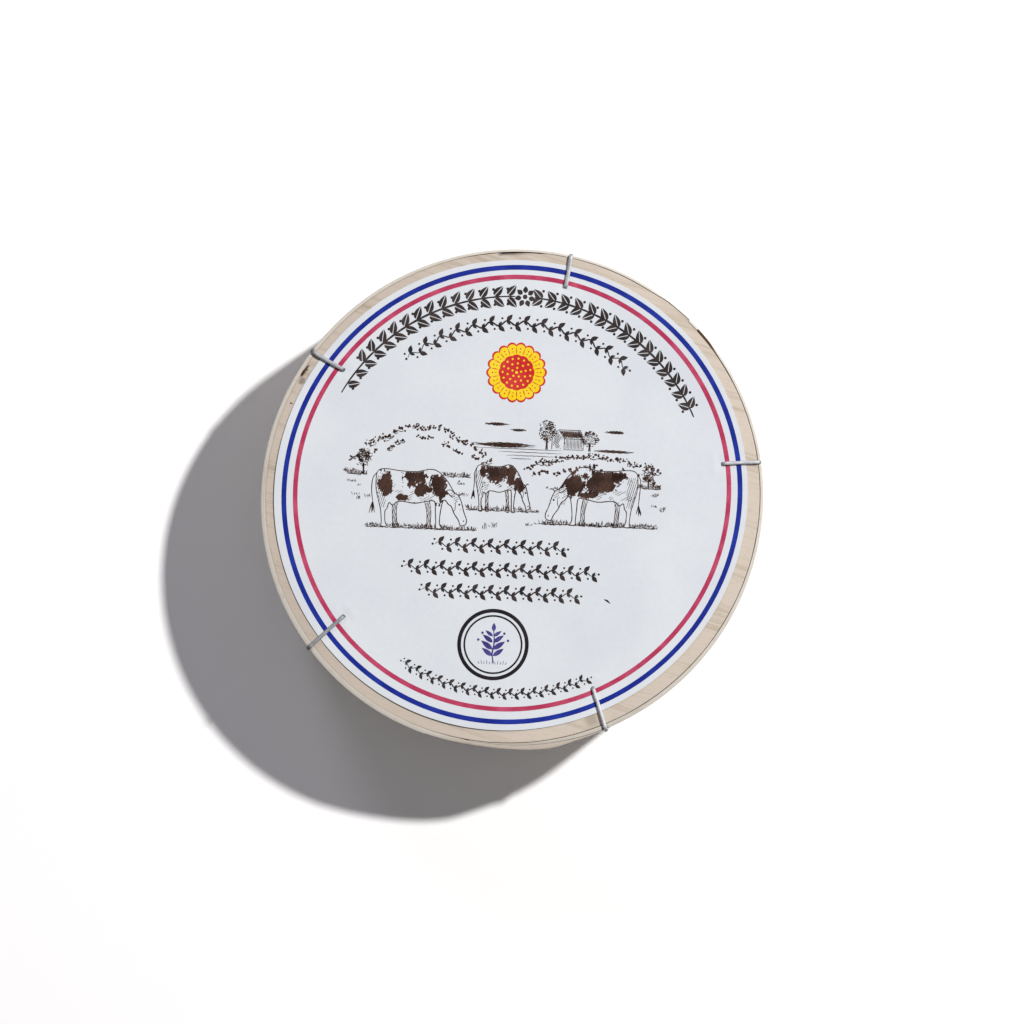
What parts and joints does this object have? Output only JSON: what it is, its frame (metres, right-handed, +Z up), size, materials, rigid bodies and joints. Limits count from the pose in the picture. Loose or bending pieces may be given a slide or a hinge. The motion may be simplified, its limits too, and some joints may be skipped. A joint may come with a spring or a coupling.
{
  "type": "boxed soft cheese wheel",
  "caption": "Round poplar-veneer cheese box, closed, with a stapled lid, a ring-printed paper label and a wrapped soft-ripened cheese wheel inside.",
  "frame": {"origin": "on the box's axis, in the plane that it stands on", "axes": "+Z up out of the lid; +Y towards the top of the label's picture; +X to its right"},
  "size_m": [0.1148, 0.1149, 0.0356],
  "materials": {
    "poplar_veneer": "bare rotary-cut poplar, fine grain",
    "label_paper": "smooth white label paper",
    "wrapper_paper": "waxed wrapping paper",
    "cheese_rind": "white bloomy rind",
    "galvanised_wire": "dull galvanised wire",
    "ink_blue": "printed ink",
    "ink_red": "printed ink",
    "ink_dark": "printed ink",
    "ink_brown": "printed ink",
    "ink_yellow": "printed ink"
  },
  "bodies": {
    "root": {"base_disc": "poplar_veneer", "base_hoop": "poplar_veneer", "lid_disc": "poplar_veneer", "lid_hoop": "poplar_veneer", "label": "label_paper", "wrapper": "wrapper_paper", "cheese": "cheese_rind", "lid_staple_1": "galvanised_wire", "lid_staple_2": "galvanised_wire", "lid_staple_3": "galvanised_wire", "lid_staple_4": "galvanised_wire", "lid_staple_5": "galvanised_wire", "base_staple_1": "galvanised_wire", "base_staple_2": "galvanised_wire", "base_staple_3": "galvanised_wire", "base_staple_4": "galvanised_wire", "base_staple_5": "galvanised_wire"}
  },
  "joints": []
}
